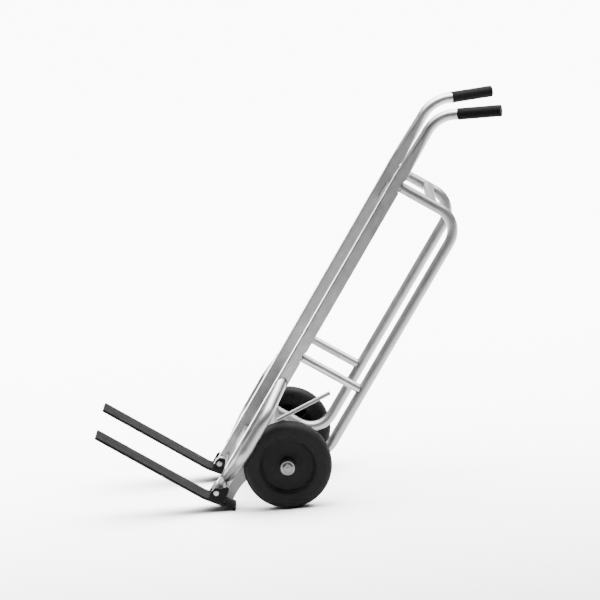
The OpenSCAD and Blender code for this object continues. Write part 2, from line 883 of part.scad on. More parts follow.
module tyre_shape() {
    half_w = tyre_w / 2;
    translate([0, wheel_y, 0]) turned_y() difference() {
        union() {
            translate([rim_d / 2, -half_w])
                square([wheel_r - shoulder_r - rim_d / 2, tyre_w]);
            translate([rim_d / 2, shoulder_r - half_w])
                square([wheel_r - rim_d / 2, tyre_w - 2 * shoulder_r]);
            for (s = [-1, 1])
                translate([wheel_r - shoulder_r, s * (half_w - shoulder_r)])
                    circle(r = shoulder_r);
        }
        translate([0, -tyre_w]) square([rim_d / 2, 2 * tyre_w]);
    }
}

module tyre_left() {
    color(rubber) stand() on_side(LEFT) tyre_shape();
}

module tyre_right() {
    color(rubber) stand() on_side(RIGHT) tyre_shape();
}

// Wheel centre: a rim, a disc near the outer side, ribs behind it and a long hub
module wheel_centre_section() {
    rim_r = rim_d / 2;
    rim_y = tyre_w / 2 - rim_in;
    hub_r = hub_d / 2;
    hub_y = hub_len / 2;
    disc_y = tyre_w / 2 - disc_in;
    bore_r = axle_d / 2 + bush_wall + run_clear;
    polygon([
        [bore_r, -hub_y], [bore_r, hub_y], [hub_r - 1, hub_y], [hub_r, hub_y - 1],
        [hub_r, disc_y + 4], [hub_r + 2, disc_y + 1.5], [hub_r + 7, disc_y],
        [rim_r - slope_w, disc_y], [rim_r - rim_edge, rim_y],
        [rim_r, rim_y], [rim_r, -rim_y], [rim_r - rim_t, -rim_y],
        [rim_r - rim_t, disc_y - disc_t], [hub_r, disc_y - disc_t], [hub_r, 1 - hub_y],
        [hub_r - 1, -hub_y]
    ]);
}

module wheel_centre_shape() {
    rib_len = (rim_d - rim_t - hub_d) / 2 + 1;
    rib_y = rim_in + 2 - tyre_w / 2;
    translate([0, wheel_y, 0]) {
        turned_y() wheel_centre_section();
        for (i = [0:rib_count - 1]) rotate([0, i * 360 / rib_count, 0])
            translate([hub_d / 2 - 1, rib_y, -rib_t / 2])
                cube([rib_len, (tyre_w - disc_t) / 2 - disc_in - rib_y, rib_t]);
    }
}

module wheel_centre_left() {
    color(plastic) stand() on_side(LEFT) wheel_centre_shape();
}

module wheel_centre_right() {
    color(plastic) stand() on_side(RIGHT) wheel_centre_shape();
}

module wheel_bush_shape() {
    ring_y(hub_in, hub_out, axle_d / 2 + run_clear, axle_d / 2 + bush_wall);
}

module wheel_bush_left() {
    color(bush_white) stand() on_side(LEFT) wheel_bush_shape();
}

module wheel_bush_right() {
    color(bush_white) stand() on_side(RIGHT) wheel_bush_shape();
}

upright_left();
upright_right();
grip_left();
grip_right();
upper_cross_plate();
lower_cross_plate();
rear_tube_left();
rear_tube_right();
upper_cross_tube();
lower_cross_tube();
strut_left();
strut_right();
wheel_guard_left();
wheel_guard_right();
axle_plate_left();
axle_plate_right();
foot_rod();
stop_rod();
hinge_block_left();
hinge_block_right();
axle();
axle_spacers();
axle_washers();
axle_caps();
wheel_centre_left();
wheel_centre_right();
tyre_left();
tyre_right();
wheel_bush_left();
wheel_bush_right();
fork_blade_left();
fork_blade_right();
fork_lugs_left();
fork_lugs_right();
pivot_sleeves();
pivot_bolts();
pivot_washers();
pivot_nuts();
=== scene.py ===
"""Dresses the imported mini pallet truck: studio, finishes, weld seams and small trim."""

import json
import logging
import math
from collections.abc import Callable
from dataclasses import dataclass
from enum import Enum

import bmesh
import bpy
from bpy.types import Material, Node, NodeTree, Object
from mathutils import Matrix, Vector


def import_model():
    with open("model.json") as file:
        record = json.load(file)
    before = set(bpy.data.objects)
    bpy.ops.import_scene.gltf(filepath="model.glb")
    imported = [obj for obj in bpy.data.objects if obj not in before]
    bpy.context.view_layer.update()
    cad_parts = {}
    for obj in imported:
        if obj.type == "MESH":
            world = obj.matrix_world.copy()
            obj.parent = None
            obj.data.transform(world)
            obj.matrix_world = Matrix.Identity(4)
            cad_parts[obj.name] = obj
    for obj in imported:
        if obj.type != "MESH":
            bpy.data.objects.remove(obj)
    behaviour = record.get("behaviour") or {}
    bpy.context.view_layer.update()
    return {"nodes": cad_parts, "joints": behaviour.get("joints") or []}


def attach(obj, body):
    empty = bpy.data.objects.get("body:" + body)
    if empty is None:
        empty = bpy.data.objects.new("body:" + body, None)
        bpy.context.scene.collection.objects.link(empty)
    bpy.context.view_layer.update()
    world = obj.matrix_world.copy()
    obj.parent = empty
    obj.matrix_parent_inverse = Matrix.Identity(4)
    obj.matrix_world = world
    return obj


log = logging.getLogger("mini_pallet_truck")
Path = Callable[[float], Vector]
Colour = tuple[float, float, float]

MM = 0.001
SIDES = {"left": -1.0, "right": 1.0}
EVEN = (1.0, 1.0, 1.0)
REARWARD = Vector((1.0, 0.0, 0.0))
SIDEWAYS = Vector((0.0, 1.0, 0.0))
UPWARD = Vector((0.0, 0.0, 1.0))

# Faces of the uprights and the pivots in their feet, in millimetres square to the uprights:
# x rearward and z upward from the axle, y from the middle of the truck
WEB_X = -115.0
INNER_Y, MIDDLE_Y, OUTER_Y = 135.0, 150.0, 165.0
PIVOT_X, PIVOT_Z = -134.5, -174.5

# Sockets of the Mix node by number, because its kinds share their names
MASK = 0
VALUE_BELOW, VALUE_ABOVE, VALUE_OUT = 2, 3, 0
COLOUR_BELOW, COLOUR_ABOVE, COLOUR_OUT = 6, 7, 2


# Layout shared by every piece


@dataclass(frozen=True)
class Layout:
    """Turns places square to the uprights into the frame of the leaned truck."""

    axle: Vector
    lean: float

    @classmethod
    def from_joints(cls, joints: list[dict]) -> "Layout":
        """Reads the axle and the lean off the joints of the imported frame.

        Args:
            joints: the record's joints.

        Returns:
            The layout of this truck.
        """
        places = {j["name"]: Vector(j["pos_m"]) for j in joints}
        axle = places["wheel_left_spin"].copy()
        axle.y = 0.0
        pivot = places["fork_left_fold"] - axle
        square = math.atan2(PIVOT_Z, PIVOT_X)
        return cls(axle, square - math.atan2(pivot.z, pivot.x))

    def matrix(self) -> Matrix:
        """Returns the matrix from the square frame, in metres, to the truck's frame."""
        return Matrix.Translation(self.axle) @ Matrix.Rotation(self.lean, 4, "Y")

    def place(self, x: float, y: float, z: float) -> Vector:
        """Gives a point of the square frame in the truck's frame.

        Args:
            x: millimetres rearward from the axle.
            y: millimetres to the right.
            z: millimetres up along the uprights.

        Returns:
            The point in metres.
        """
        return self.matrix() @ (Vector((x, y, z)) * MM)


# Finishes


class Grain(Enum):
    """Which way the fine lines of a metal surface run."""

    ALONG_UPRIGHT = "along the uprights"
    ACROSS = "across the truck"
    NONE = "no lines"


@dataclass(frozen=True)
class Speckle:
    """A noise: how fine it is, how many finer layers lie on it and how strong each of them is."""

    scale: float
    detail: float = 2.0
    rough: float = 0.5


class NodePen:
    """Writes the shader nodes of one material."""

    noise_span = (0.25, 0.75)
    edge_samples = 6
    edge_span = (0.985, 0.88)
    front_blend = 0.5 * MM
    wear_span = (0.22, 0.62)

    def __init__(self, name: str) -> None:
        """Starts an empty material with a Principled shader.

        Args:
            name: the material's name.
        """
        self.material: Material = bpy.data.materials.new(name)
        self.material.use_nodes = True
        self.tree: NodeTree = self.material.node_tree
        self.tree.nodes.clear()
        self.output = self.add("ShaderNodeOutputMaterial")
        self.shader = self.add("ShaderNodeBsdfPrincipled")
        self.link(self.shader, "BSDF", self.output, "Surface")
        self.coordinates = self.add("ShaderNodeTexCoord")

    def add(self, kind: str) -> Node:
        """Returns a new node of the given kind."""
        return self.tree.nodes.new(kind)

    def link(self, a: Node, out: str | int, b: Node, into: str | int) -> None:
        """Joins one node's output to another's input."""
        self.tree.links.new(a.outputs[out], b.inputs[into])

    def mapping(self, scale: tuple[float, float, float], turn: float = 0.0) -> Node:
        """Stretches the object's own coordinates.

        Args:
            scale: how much finer the pattern gets along each axis.
            turn: radians about the Y axis, applied before the scale.

        Returns:
            The node whose Vector output carries the coordinates.
        """
        turned = self.add("ShaderNodeMapping")
        turned.vector_type = "POINT"
        turned.inputs["Rotation"].default_value = (0.0, turn, 0.0)
        self.link(self.coordinates, "Object", turned, "Vector")
        scaled = self.add("ShaderNodeMapping")
        scaled.inputs["Scale"].default_value = scale
        self.link(turned, "Vector", scaled, "Vector")
        return scaled

    def noise(self, where: Node, speckle: Speckle) -> Node:
        """Adds a noise texture.

        Args:
            where: the node whose Vector output gives the coordinates.
            speckle: the noise's sizes.

        Returns:
            The noise node, whose value is its Fac output.
        """
        noise = self.add("ShaderNodeTexNoise")
        noise.inputs["Scale"].default_value = speckle.scale
        noise.inputs["Detail"].default_value = speckle.detail
        noise.inputs["Roughness"].default_value = speckle.rough
        self.link(where, "Vector", noise, "Vector")
        return noise

    def ramp(self, source: Node, out: str | int, stops: list[tuple[float, Colour]]) -> Node:
        """Maps a value to colours.

        Args:
            source: the node that gives the value.
            out: which of its outputs.
            stops: position and colour pairs.

        Returns:
            The ramp node, whose colour is its Color output.
        """
        ramp = self.add("ShaderNodeValToRGB")
        band = ramp.color_ramp
        while len(band.elements) < len(stops):
            band.elements.new(0.5)
        for element, (at, colour) in zip(band.elements, stops):
            element.position = at
            element.color = (*colour, 1.0)
        self.link(source, out, ramp, "Fac")
        return ramp

    def remap(self, source: Node, out: str | int, taken: tuple[float, float],
              given: tuple[float, float] = (0.0, 1.0)) -> Node:
        """Maps one span of values to another, and holds what lies past its ends.

        Args:
            source: the node that gives the value.
            out: which of its outputs.
            taken: the span that is read.
            given: the span that it becomes.

        Returns:
            The node whose Result output carries the mapped value.
        """
        mapped = self.add("ShaderNodeMapRange")
        sockets = ("From Min", "From Max", "To Min", "To Max")
        for socket, value in zip(sockets, (*taken, *given)):
            mapped.inputs[socket].default_value = value
        self.link(source, out, mapped, "Value")
        return mapped

    def bump(self, height: Node, share: float, depth: float) -> None:
        """Raises the surface by a noise.

        Args:
            height: the noise node.
            share: strength of the effect, from 0 to 1.
            depth: height in metres.
        """
        bump = self.add("ShaderNodeBump")
        bump.inputs["Strength"].default_value = share
        bump.inputs["Distance"].default_value = depth
        self.link(height, "Fac", bump, "Height")
        self.link(bump, "Normal", self.shader, "Normal")

    def edges(self, reach: float) -> Node:
        """Marks the edges of a piece.

        Args:
            reach: how far from an edge the mark runs, in metres.

        Returns:
            The node whose Result output is 1 on an edge and 0 away from it.
        """
        rounded = self.add("ShaderNodeBevel")
        rounded.samples = self.edge_samples
        rounded.inputs["Radius"].default_value = reach
        plain = self.add("ShaderNodeNewGeometry")
        meet = self.add("ShaderNodeVectorMath")
        meet.operation = "DOT_PRODUCT"
        self.link(rounded, "Normal", meet, 0)
        self.link(plain, "Normal", meet, 1)
        return self.remap(meet, "Value", self.edge_span)

    def ahead_of(self, limit: float, turn: float) -> Node:
        """Marks what lies ahead of a plane square to the uprights.

        Args:
            limit: the plane's place on the turned X axis, in metres.
            turn: radians about the Y axis that stand the uprights up.

        Returns:
            The node whose Result output is 1 ahead of the plane.
        """
        parts = self.add("ShaderNodeSeparateXYZ")
        self.link(self.mapping(EVEN, turn), "Vector", parts, "Vector")
        return self.remap(parts, "X", (limit, limit - self.front_blend))

    def mix_value(self, below: Node, above: float, mask: Node) -> Node:
        """Lays a value over another where a mask is 1.

        Args:
            below: the node whose Result output lies below.
            above: the value laid over it.
            mask: the node whose Result output says where.

        Returns:
            The mix node, whose value is its output VALUE_OUT.
        """
        mix = self.add("ShaderNodeMix")
        mix.data_type = "FLOAT"
        self.link(mask, "Result", mix, MASK)
        self.link(below, "Result", mix, VALUE_BELOW)
        mix.inputs[VALUE_ABOVE].default_value = above
        return mix

    def mix_colour(self, below: Node, out: str | int, above: Colour, mask: Node) -> Node:
        """Lays a colour over another where a mask is 1.

        Args:
            below: the node whose colour lies below.
            out: which of its outputs.
            above: the colour laid over it.
            mask: the node whose Result output says where.

        Returns:
            The mix node, whose colour is its output COLOUR_OUT.
        """
        mix = self.add("ShaderNodeMix")
        mix.data_type = "RGBA"
        self.link(mask, "Result", mix, MASK)
        self.link(below, out, mix, COLOUR_BELOW)
        mix.inputs[COLOUR_ABOVE].default_value = (*above, 1.0)
        return mix

    def worn_edges(self, reach: float, where: Node, speckle: Speckle, share: float) -> Node:
        """Marks the edges of a piece, broken up with noise as real wear is.

        Args:
            reach: how far from an edge the mark runs, in metres.
            where: the coordinates of the noise.
            speckle: the noise's sizes.
            share: how strong the mark is at most.

        Returns:
            The node whose Result output is the broken mark.
        """
        edges = self.edges(reach)
        spots = self.noise(where, speckle)
        both = self.add("ShaderNodeMath")
        both.operation = "MULTIPLY"
        self.link(edges, "Result", both, 0)
        self.link(spots, "Fac", both, 1)
        return self.remap(both, "Value", self.wear_span, (0.0, share))


# How fine each grain's lines are along x, y and z, once the uprights are stood up
STRETCH = {
    Grain.ALONG_UPRIGHT: (480.0, 480.0, 45.0),
    Grain.ACROSS: (900.0, 7.0, 900.0),
    Grain.NONE: (320.0, 320.0, 320.0),
}


@dataclass(frozen=True)
class MetalFinish:
    """Bare metal: base tone, how much it varies, its fine lines and its rubbed edges.

    A front plane may be given: what lies ahead of it gets a painted highlight, a lighter tone and
    lower roughness that stand in for the bright reflection along the front edge. The plane is in
    metres rearward from the axle, square to the uprights.
    """

    name: str
    tone: Colour
    vary: float
    roughness: float
    grain: Grain = Grain.NONE
    grain_depth: float = 0.00002
    grain_share: float = 0.5
    edge_gain: float = 1.35
    edge_reach: float = 0.0012
    edge_spots: Speckle = Speckle(160.0, 3.0, 0.6)
    edge_share: float = 0.85
    brightest: float = 0.95
    lines: Speckle = Speckle(1.0, 3.0, 0.6)
    clouds: Speckle = Speckle(22.0, 5.0, 0.55)
    line_share: float = 0.6
    tone_stops: tuple[float, float, float] = (0.3, 0.5, 0.7)
    gloss_swing: float = 0.07
    # Painted highlight along the front edge: its front plane, the depth of its soft start, its
    # tone and how much glossier it is
    painted_highlight_front: float | None = None
    painted_highlight_depth: float = 0.001
    painted_highlight_tone: float = 0.44
    painted_highlight_gloss: float = 0.14

    def make(self, layout: Layout) -> Material:
        """Builds the material.

        Args:
            layout: the truck's layout, so that grain and wear follow the uprights.

        Returns:
            The finished material.
        """
        pen = NodePen(self.name)
        pen.shader.inputs["Metallic"].default_value = 1.0
        place = pen.mapping(EVEN, -layout.lean)
        lines = pen.noise(pen.mapping(STRETCH[self.grain], -layout.lean), self.lines)
        mottle = self.mottle(pen, place, lines)
        dark = tuple(c * (1.0 - self.vary) for c in self.tone)
        light = tuple(min(1.0, c * (1.0 + self.vary)) for c in self.tone)
        stops = list(zip(self.tone_stops, (dark, self.tone, light)))
        tones = pen.ramp(mottle, VALUE_OUT, stops)
        bright = tuple(min(self.brightest, c * self.edge_gain) for c in self.tone)
        wear = pen.worn_edges(self.edge_reach, place, self.edge_spots, self.edge_share)
        colour = pen.mix_colour(tones, "Color", bright, wear)
        rough = pen.remap(mottle, VALUE_OUT, pen.noise_span,
                          (self.roughness - self.gloss_swing, self.roughness + self.gloss_swing))
        # Painted highlight: ahead of the front plane the tone turns lighter and the roughness
        # lower, standing in for the bright reflection along the uprights' front edge
        if self.painted_highlight_front is not None:
            axle = Matrix.Rotation(-layout.lean, 4, "Y") @ layout.axle
            front = pen.ahead_of(axle.x + self.painted_highlight_front + self.painted_highlight_depth, -layout.lean)
            colour = pen.mix_colour(colour, COLOUR_OUT, grey(self.painted_highlight_tone), front)
            rough = pen.mix_value(rough, self.roughness - self.painted_highlight_gloss, front)
        pen.link(colour, COLOUR_OUT, pen.shader, "Base Color")
        pen.link(rough, VALUE_OUT, pen.shader, "Roughness")
        pen.bump(lines, self.grain_share, self.grain_depth)
        return pen.material

    def mottle(self, pen: NodePen, place: Node, lines: Node) -> Node:
        """Mixes soft clouds with the fine lines.

        Args:
            pen: what writes the material.
            place: the even coordinates.
            lines: the noise of the fine lines.

        Returns:
            The mix node, whose value is its output VALUE_OUT.
        """
        clouds = pen.noise(place, self.clouds)
        mix = pen.add("ShaderNodeMix")
        mix.data_type = "FLOAT"
        mix.inputs[MASK].default_value = self.line_share
        pen.link(clouds, "Fac", mix, VALUE_BELOW)
        pen.link(lines, "Fac", mix, VALUE_ABOVE)
        return mix


@dataclass(frozen=True)
class CoatFinish:
    """A skin such as powder coat, moulded plastic or rubber, with rubbed edges if it has any."""

    name: str
    tone: Colour
    clouded: Colour
    roughness: float
    pimples: Speckle
    pimple_depth: float
    specular: float = 0.5
    rubbed: Colour | None = None
    pimple_share: float = 0.6
    clouds: Speckle = Speckle(30.0, 6.0, 0.6)
    cloud_span: tuple[float, float] = (0.35, 0.72)
    edge_reach: float = 0.0012
    edge_spots: Speckle = Speckle(220.0, 3.0, 0.6)
    edge_share: float = 0.9
    gloss_swing: tuple[float, float] = (-0.06, 0.08)

    def make(self, layout: Layout) -> Material:
        """Builds the material.

        Args:
            layout: not used by an even skin, and taken so that all finishes are made alike.

        Returns:
            The finished material.
        """
        pen = NodePen(self.name)
        pen.shader.inputs["Specular IOR Level"].default_value = self.specular
        place = pen.mapping(EVEN)
        pimples = pen.noise(place, self.pimples)
        clouds = pen.noise(place, self.clouds)
        tones = pen.ramp(clouds, "Fac", list(zip(self.cloud_span, (self.tone, self.clouded))))
        if self.rubbed is None:
            pen.link(tones, "Color", pen.shader, "Base Color")
        else:
            wear = pen.worn_edges(self.edge_reach, place, self.edge_spots, self.edge_share)
            colour = pen.mix_colour(tones, "Color", self.rubbed, wear)
            pen.link(colour, COLOUR_OUT, pen.shader, "Base Color")
        dull = tuple(self.roughness + swing for swing in self.gloss_swing)
        rough = pen.remap(clouds, "Fac", pen.noise_span, dull)
        pen.link(rough, "Result", pen.shader, "Roughness")
        pen.bump(pimples, self.pimple_share, self.pimple_depth)
        return pen.material


Finish = MetalFinish | CoatFinish


def grey(level: float, cool: float = 1.01) -> Colour:
    """Gives a nearly neutral tone, with its blue a touch stronger."""
    return (level, level, level * cool)


# The uprights carry a painted highlight along their front edge, a lighter and glossier strip
# standing in for a reflection
PROFILE = MetalFinish("profile_aluminium", grey(0.245), vary=0.22, roughness=0.35,
                      grain=Grain.ALONG_UPRIGHT, painted_highlight_front=-143.0 * MM)
TUBE = MetalFinish("tube_aluminium", grey(0.195), vary=0.14, roughness=0.44,
                   grain_depth=0.00001)
STRUT = MetalFinish("strut_aluminium", grey(0.320), vary=0.12, roughness=0.38,
                    grain_depth=0.00001)
CROSS_TUBE = MetalFinish("cross_tube_aluminium", grey(0.330), vary=0.06, roughness=0.38,
                         grain=Grain.ACROSS, grain_depth=0.00001)
GUARD = MetalFinish("guard_aluminium", grey(0.190), vary=0.12, roughness=0.40,
                    grain_depth=0.00001)
# Painted light: the cross plates get a much lighter copy of the aluminium, for the light that
# their front-up faces catch
PAINTED_LIGHT_CROSS_PLATE = MetalFinish("cross_plate_aluminium", grey(0.520), vary=0.10, roughness=0.34,
                          grain=Grain.ACROSS)
# Painted shade: the axle plates get a much darker copy of the aluminium, for the shade they sit in
# between wheel and upright
PAINTED_SHADE_AXLE_PLATE = MetalFinish("axle_plate_aluminium", grey(0.090), vary=0.16, roughness=0.46)
BLOCK = MetalFinish("hinge_block_aluminium", grey(0.560), vary=0.10, roughness=0.40)
ZINC = MetalFinish("zinc_steel", grey(0.170, 1.03), vary=0.20, roughness=0.32)
ROD = MetalFinish("rod_zinc_steel", grey(0.140, 1.03), vary=0.12, roughness=0.52)
CAP = MetalFinish("cap_zinc_steel", grey(0.105, 1.02), vary=0.40, roughness=0.34,
                  grain_depth=0.00006)
# Weld tone, partly a dark weld and partly painted shade: the beads are made very dark so that
# where they fill the lip notches they also stand in for the shadow inside the notches
WELD_AND_PAINTED_SHADE = MetalFinish("weld_seam", grey(0.070), vary=0.35, roughness=0.50,
                   grain_depth=0.00006, edge_gain=2.2)
POWDER = CoatFinish("black_steel", grey(0.0026, 1.05), grey(0.0040, 1.04), roughness=0.55,
                    pimples=Speckle(900.0), pimple_depth=0.00008, specular=0.06, rubbed=grey(0.02))
LUG = CoatFinish("black_steel_lug", grey(0.0018, 1.05), grey(0.0028, 1.04), roughness=0.60,
                 pimples=Speckle(900.0), pimple_depth=0.00008, specular=0.05)
TYRE = CoatFinish("tyre_rubber", grey(0.0032), grey(0.0046), roughness=0.66,
                  pimples=Speckle(1400.0), pimple_depth=0.00006, specular=0.08)
GRIP = CoatFinish("grip_rubber", grey(0.0020), grey(0.0030), roughness=0.66,
                  pimples=Speckle(1800.0), pimple_depth=0.00010, specular=0.04)
PLASTIC = CoatFinish("wheel_plastic", grey(0.0050, 1.04), grey(0.0062, 1.03), roughness=0.60,
                     pimples=Speckle(1500.0), pimple_depth=0.00005, specular=0.05)
BUSH = CoatFinish("bush_plastic", (0.70, 0.68, 0.63), (0.76, 0.74, 0.69), roughness=0.45,
                  pimples=Speckle(1200.0), pimple_depth=0.00003)
FLOOR = CoatFinish("floor", grey(0.80, 1.0), grey(0.81, 1.0), roughness=0.9,
                   pimples=Speckle(40.0), pimple_depth=0.0, specular=0.1)


class Paintbox:
    """Holds one made material for each finish."""

    def __init__(self, layout: Layout) -> None:
        """Starts with no material made.

        Args:
            layout: the truck's layout.
        """
        self.layout = layout
        self.made: dict[str, Material] = {}

    def get(self, finish: Finish) -> Material:
        """Gives the material of a finish, made on first use.

        Args:
            finish: the finish that is wanted.

        Returns:
            Its material.
        """
        if finish.name not in self.made:
            self.made[finish.name] = finish.make(self.layout)
        return self.made[finish.name]

    def dress(self, piece: Object, finish: Finish) -> None:
        """Gives every material slot of a piece the same finish.

        Args:
            piece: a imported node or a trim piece.
            finish: what it is dressed in.
        """
        material = self.get(finish)
        if not piece.material_slots:
            piece.data.materials.append(material)
        for slot in piece.material_slots:
            slot.material = material


# Studio


@dataclass(frozen=True)
class Lamp:
    """A soft rectangular lamp: its place, aim and size in metres, watts, and spread in degrees."""

    name: str
    at: tuple[float, float, float]
    aim: tuple[float, float, float]
    size: tuple[float, float]
    power: float
    spread: float


LAMPS = (
    Lamp("ceiling", at=(0.0, 9.2, 2.7), aim=(0.0, 9.2, 0.0), size=(20.0, 20.0), power=17000.0,
         spread=110.0),
    Lamp("near", at=(0.0, -2.0, 4.0), aim=(0.0, -0.2, 0.4), size=(5.0, 2.0), power=60.0,
         spread=160.0),
    Lamp("behind camera", at=(0.0, -13.5, 2.7), aim=(0.0, -13.5, 0.0), size=(20.0, 14.0),
         power=2800.0, spread=110.0),
)


@dataclass
class Studio:
    """Camera at the photograph's viewing angle, pale floor and soft light."""

    focal_px: float = 2674.0
    image_px: float = 600.0
    sensor: float = 36.0
    clip: tuple[float, float] = (0.1, 100.0)
    distance: float = 7.66
    pitch: float = math.radians(12.3)
    photo_lean: float = math.radians(29.37)
    aim_x: float = 34.5 * MM
    aim_z: float = 431.9 * MM
    floor_half: float = 30.0
    surround_span: tuple[float, float] = (-1.0, 0.6)
    surround_light: tuple[float, float] = (0.18, 4.0)

    def build(self, layout: Layout, paints: Paintbox) -> None:
        """Sets the camera, lays the floor and lights both.

        Args:
            layout: the truck's layout.
            paints: where the floor's material is kept.
        """
        self.make_camera(layout)
        self.make_floor(paints)
        for lamp in LAMPS:
            self.hang(lamp)
        self.make_surround()
        log.info("studio with camera, floor and %d lamps", len(LAMPS))

    def make_camera(self, layout: Layout) -> None:
        """Sets the camera where the photograph was taken from.

        Args:
            layout: the truck's layout.
        """
        forward = Vector((0.0, math.cos(self.pitch), -math.sin(self.pitch)))
        up = Vector((0.0, math.sin(self.pitch), math.cos(self.pitch)))
        right = forward.cross(up)
        aim = Vector((self.aim_x, 0.0, self.aim_z))
        turn = Matrix((right, up, -forward)).transposed().to_4x4()
        stand = Matrix.Translation(aim - forward * self.distance) @ turn
        extra = Matrix.Rotation(layout.lean - self.photo_lean, 4, "Y")
        data = bpy.data.cameras.new("camera")
        data.sensor_width = self.sensor
        data.lens = self.focal_px / self.image_px * data.sensor_width
        data.clip_start, data.clip_end = self.clip
        camera = bpy.data.objects.new("camera", data)
        bpy.context.scene.collection.objects.link(camera)
        camera.matrix_world = Matrix.Translation(layout.axle) @ extra @ stand
        bpy.context.scene.camera = camera

    def make_floor(self, paints: Paintbox) -> None:
        """Lays the pale floor.

        Args:
            paints: where the floor's material is kept.
        """
        form = bmesh.new()
        bmesh.ops.create_grid(form, x_segments=1, y_segments=1, size=self.floor_half)
        floor = as_piece(form, "floor")
        paints.dress(floor, FLOOR)

    def hang(self, plan: Lamp) -> None:
        """Hangs one lamp.

        Args:
            plan: the lamp's place, size and light.
        """
        data = bpy.data.lights.new(plan.name, "AREA")
        data.shape = "RECTANGLE"
        data.size, data.size_y = plan.size
        data.energy = plan.power
        data.spread = math.radians(plan.spread)
        lamp = bpy.data.objects.new(plan.name, data)
        lamp.location = plan.at
        lamp.rotation_mode = "QUATERNION"
        facing = Vector(plan.aim) - Vector(plan.at)
        lamp.rotation_quaternion = facing.to_track_quat("-Z", "Y")
        bpy.context.scene.collection.objects.link(lamp)

    def make_surround(self) -> None:
        """Sets a white surround, bright beyond the truck and dim behind the camera."""
        world = bpy.data.worlds.new("surround")
        world.use_nodes = True
        tree = world.node_tree
        direction = tree.nodes.new("ShaderNodeTexCoord")
        parts = tree.nodes.new("ShaderNodeSeparateXYZ")
        tree.links.new(direction.outputs["Generated"], parts.inputs["Vector"])
        depth = tree.nodes.new("ShaderNodeMapRange")
        sockets = ("From Min", "From Max", "To Min", "To Max")
        for socket, value in zip(sockets, (*self.surround_span, *self.surround_light)):
            depth.inputs[socket].default_value = value
        tree.links.new(parts.outputs["Y"], depth.inputs["Value"])
        tree.links.new(depth.outputs["Result"], tree.nodes["Background"].inputs["Strength"])
        bpy.context.scene.world = world


# Mesh helpers

RING_SIDES = 8
DOME_ROWS = 6
DOME_STEPS = 32
MERGE = 1e-6


def as_piece(form: bmesh.types.BMesh, name: str) -> Object:
    """Turns a finished bmesh into a smooth-shaded object at the origin.

    Args:
        form: the shape, in the truck's frame, which is freed here.
        name: the piece's name.

    Returns:
        The new object, linked to the scene.
    """
    mesh = bpy.data.meshes.new(name)
    form.to_mesh(mesh)
    form.free()
    for face in mesh.polygons:
        face.use_smooth = True
    piece = bpy.data.objects.new(name, mesh)
    bpy.context.scene.collection.objects.link(piece)
    return piece


def rim(verts: list[bmesh.types.BMVert]) -> list[bmesh.types.BMEdge]:
    """Lists the edges of a fresh circle, each once and in the same order on every run."""
    return list(dict.fromkeys(e for v in verts for e in v.link_edges))


def sweep(form: bmesh.types.BMesh, path: list[Vector], radii: list[float], sides: int,
          closed: bool) -> None:
    """Bridges rings of vertices set along a path into one bead.

    Args:
        form: the bmesh that takes the bead.
        path: the points along its middle.
        radii: its radius at each point.
        sides: vertices in each ring.
        closed: whether the path runs back to its start.
    """
    rings = []
    count = len(path)
    for i, (point, radius) in enumerate(zip(path, radii)):
        ahead = path[(i + 1) % count] if closed or i < count - 1 else point
        behind = path[i - 1] if closed or i > 0 else point
        turn = (ahead - behind).to_track_quat("Z", "Y").to_matrix().to_4x4()
        made = bmesh.ops.create_circle(
            form, cap_ends=False, radius=radius, segments=sides,
            matrix=Matrix.Translation(point) @ turn)
        rings.append(rim(made["verts"]))
    for a, b in zip(rings, rings[1:] + ([rings[0]] if closed else [])):
        bmesh.ops.bridge_loops(form, edges=[*a, *b])
    if not closed:
        for ends in (rings[0], rings[-1]):
            bmesh.ops.contextual_create(form, geom=ends)
    bmesh.ops.recalc_face_normals(form, faces=form.faces)


def ring(form: bmesh.types.BMesh, centre: Vector, radius: float, thick: float,
         steps: int) -> None:
    """Spins a small circle into a ring about an axis that runs across the truck.

    Args:
        form: the bmesh that takes the ring.
        centre: the middle of the ring, in metres.
        radius: from the axis to the middle of the small circle, in metres.
        thick: radius of the small circle, in metres.
        steps: segments round the ring.
    """
    at = Matrix.Translation(centre + Vector((radius, 0.0, 0.0)))
    made = bmesh.ops.create_circle(
        form, cap_ends=False, radius=thick, segments=RING_SIDES, matrix=at)
    bmesh.ops.spin(form, geom=[*made["verts"], *rim(made["verts"])], cent=centre,
                   axis=SIDEWAYS, angle=math.tau, steps=steps, use_merge=True)
    bmesh.ops.recalc_face_normals(form, faces=form.faces)


def crown(form: bmesh.types.BMesh, centre: Vector, radius: float, height: float,
          out: float) -> None:
    """Spins a shallow closed dome about an axis that runs across the truck.

    Args:
        form: the bmesh that takes the dome.
        centre: the middle of its base, in metres.
        radius: of its base, in metres.
        height: of its top above the base, in metres.
        out: which way it stands, -1 to the left or 1 to the right.
    """
    rows = [form.verts.new(centre - Vector((0.0, out * height, 0.0)))]
    for i in range(DOME_ROWS + 1):
        turn = 0.5 * math.pi * i / DOME_ROWS
        rows.append(form.verts.new(centre + Vector(
            (radius * math.cos(turn), out * height * math.sin(turn), 0.0))))
    edges = [form.edges.new(pair) for pair in zip(rows, rows[1:])]
    bmesh.ops.spin(form, geom=[*rows, *edges], cent=centre, axis=SIDEWAYS,
                   angle=math.tau, steps=DOME_STEPS, use_merge=True)
    bmesh.ops.remove_doubles(form, verts=form.verts, dist=MERGE)
    bmesh.ops.recalc_face_normals(form, faces=form.faces)


# Paths of weld seams, in millimetres square to the uprights

LIP_BLEND = 1.5
MEASURES = 96


